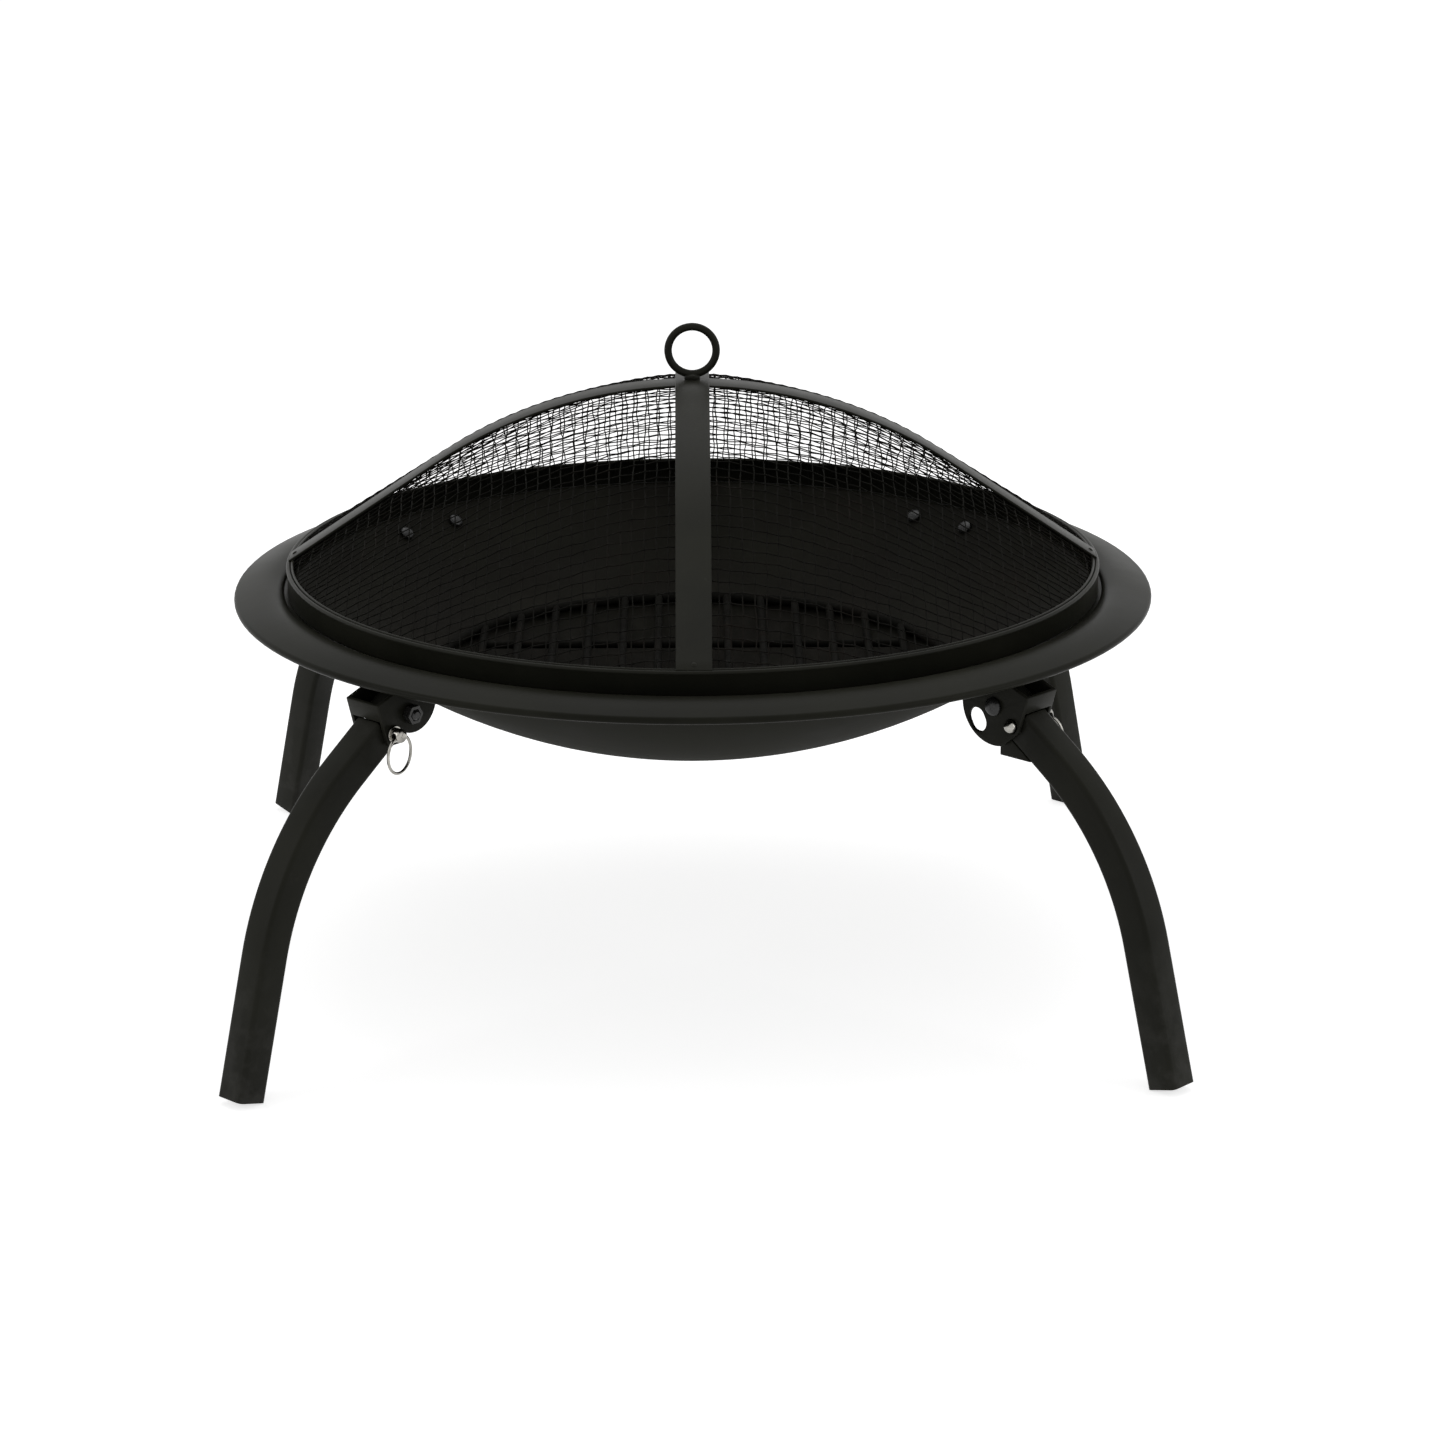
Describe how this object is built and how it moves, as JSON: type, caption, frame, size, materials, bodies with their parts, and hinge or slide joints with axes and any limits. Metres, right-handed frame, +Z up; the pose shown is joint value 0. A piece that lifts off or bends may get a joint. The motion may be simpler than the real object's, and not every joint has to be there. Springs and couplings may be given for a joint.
{
  "type": "folding fire pit",
  "caption": "Portable round steel fire pit with a dished bowl, fold-in tubular legs held by lock pins, a charcoal grate and a lift-off wire mesh spark lid with a ring handle",
  "frame": {"origin": "on the floor under the middle of the bowl", "axes": "+Z up; -Y towards the front, so that the four legs stand at the front left, front right, rear right and rear left; +X to the right as seen from the front"},
  "size_m": [0.571, 0.571, 0.3933],
  "materials": {
    "black_heat_paint": "satin",
    "black_fasteners": "satin",
    "chrome": "polished",
    "black_wire_mesh": "matte",
    "black_plastic": "matte"
  },
  "bodies": {
    "base": {"fire_bowl": "black_heat_paint", "leg_bracket_front_left": "black_heat_paint", "pivot_bolt_front_left": "black_fasteners", "pivot_nut_front_left": "black_fasteners", "bracket_bolt_front_left_a": "black_fasteners", "bracket_nut_front_left_a": "black_fasteners", "bracket_bolt_front_left_b": "black_fasteners", "bracket_nut_front_left_b": "black_fasteners", "leg_bracket_front_right": "black_heat_paint", "pivot_bolt_front_right": "black_fasteners", "pivot_nut_front_right": "black_fasteners", "bracket_bolt_front_right_a": "black_fasteners", "bracket_nut_front_right_a": "black_fasteners", "bracket_bolt_front_right_b": "black_fasteners", "bracket_nut_front_right_b": "black_fasteners", "leg_bracket_rear_right": "black_heat_paint", "pivot_bolt_rear_right": "black_fasteners", "pivot_nut_rear_right": "black_fasteners", "bracket_bolt_rear_right_a": "black_fasteners", "bracket_nut_rear_right_a": "black_fasteners", "bracket_bolt_rear_right_b": "black_fasteners", "bracket_nut_rear_right_b": "black_fasteners", "leg_bracket_rear_left": "black_heat_paint", "pivot_bolt_rear_left": "black_fasteners", "pivot_nut_rear_left": "black_fasteners", "bracket_bolt_rear_left_a": "black_fasteners", "bracket_nut_rear_left_a": "black_fasteners", "bracket_bolt_rear_left_b": "black_fasteners", "bracket_nut_rear_left_b": "black_fasteners"},
    "folding_leg_front_left": {"leg_front_left": "black_heat_paint", "foot_plug_front_left": "black_plastic"},
    "pin_front_left": {"lock_pin_front_left": "chrome"},
    "ring_front_left": {"pull_ring_front_left": "chrome"},
    "folding_leg_front_right": {"leg_front_right": "black_heat_paint", "foot_plug_front_right": "black_plastic"},
    "pin_front_right": {"lock_pin_front_right": "chrome"},
    "ring_front_right": {"pull_ring_front_right": "chrome"},
    "folding_leg_rear_right": {"leg_rear_right": "black_heat_paint", "foot_plug_rear_right": "black_plastic"},
    "pin_rear_right": {"lock_pin_rear_right": "chrome"},
    "ring_rear_right": {"pull_ring_rear_right": "chrome"},
    "folding_leg_rear_left": {"leg_rear_left": "black_heat_paint", "foot_plug_rear_left": "black_plastic"},
    "pin_rear_left": {"lock_pin_rear_left": "chrome"},
    "ring_rear_left": {"pull_ring_rear_left": "chrome"},
    "grate": {"charcoal_grate": "black_wire_mesh"},
    "lid": {"lid_hoop": "black_heat_paint", "lid_mesh": "black_wire_mesh", "lid_strap_side_to_side": "black_heat_paint", "lid_strap_front_to_back": "black_heat_paint", "lid_handle": "black_heat_paint", "lid_handle_nut": "black_fasteners"}
  },
  "joints": [
    {"name": "leg_fold_front_left", "type": "hinge", "parent": "base", "child": "folding_leg_front_left", "pos_m": [-0.17278, -0.18207, 0.207], "axis": [0.7254, -0.6884, 0], "range_deg": [0, 95]},
    {"name": "lock_pin_pull_front_left", "type": "slide", "parent": "base", "child": "pin_front_left", "axis": [0.7254, -0.6884, 0], "range_m": [0, 0.03]},
    {"name": "pull_ring_swing_front_left", "type": "hinge", "parent": "pin_front_left", "child": "ring_front_left", "pos_m": [-0.16863, -0.20385, 0.1976], "axis": [-0.6884, -0.7254, 0], "range_deg": [-12, 150]},
    {"name": "leg_fold_front_right", "type": "hinge", "parent": "base", "child": "folding_leg_front_right", "pos_m": [0.18207, -0.17278, 0.207], "axis": [0.6884, 0.7254, 0], "range_deg": [0, 95]},
    {"name": "lock_pin_pull_front_right", "type": "slide", "parent": "base", "child": "pin_front_right", "axis": [0.6884, 0.7254, 0], "range_m": [0, 0.03]},
    {"name": "pull_ring_swing_front_right", "type": "hinge", "parent": "pin_front_right", "child": "ring_front_right", "pos_m": [0.20385, -0.16863, 0.1976], "axis": [0.7254, -0.6884, 0], "range_deg": [-12, 150]},
    {"name": "leg_fold_rear_right", "type": "hinge", "parent": "base", "child": "folding_leg_rear_right", "pos_m": [0.17278, 0.18207, 0.207], "axis": [-0.7254, 0.6884, 0], "range_deg": [0, 95]},
    {"name": "lock_pin_pull_rear_right", "type": "slide", "parent": "base", "child": "pin_rear_right", "axis": [-0.7254, 0.6884, 0], "range_m": [0, 0.03]},
    {"name": "pull_ring_swing_rear_right", "type": "hinge", "parent": "pin_rear_right", "child": "ring_rear_right", "pos_m": [0.16863, 0.20385, 0.1976], "axis": [0.6884, 0.7254, 0], "range_deg": [-12, 150]},
    {"name": "leg_fold_rear_left", "type": "hinge", "parent": "base", "child": "folding_leg_rear_left", "pos_m": [-0.18207, 0.17278, 0.207], "axis": [-0.6884, -0.7254, 0], "range_deg": [0, 95]},
    {"name": "lock_pin_pull_rear_left", "type": "slide", "parent": "base", "child": "pin_rear_left", "axis": [-0.6884, -0.7254, 0], "range_m": [0, 0.03]},
    {"name": "pull_ring_swing_rear_left", "type": "hinge", "parent": "pin_rear_left", "child": "ring_rear_left", "pos_m": [-0.20385, 0.16863, 0.1976], "axis": [-0.7254, 0.6884, 0], "range_deg": [-12, 150]},
    {"name": "lid_lift", "type": "slide", "parent": "base", "child": "lid", "axis": [0, 0, 1], "range_m": [0, 0.15]},
    {"name": "grate_lift", "type": "slide", "parent": "base", "child": "grate", "axis": [0, 0, 1], "range_m": [0, 0.05]}
  ]
}
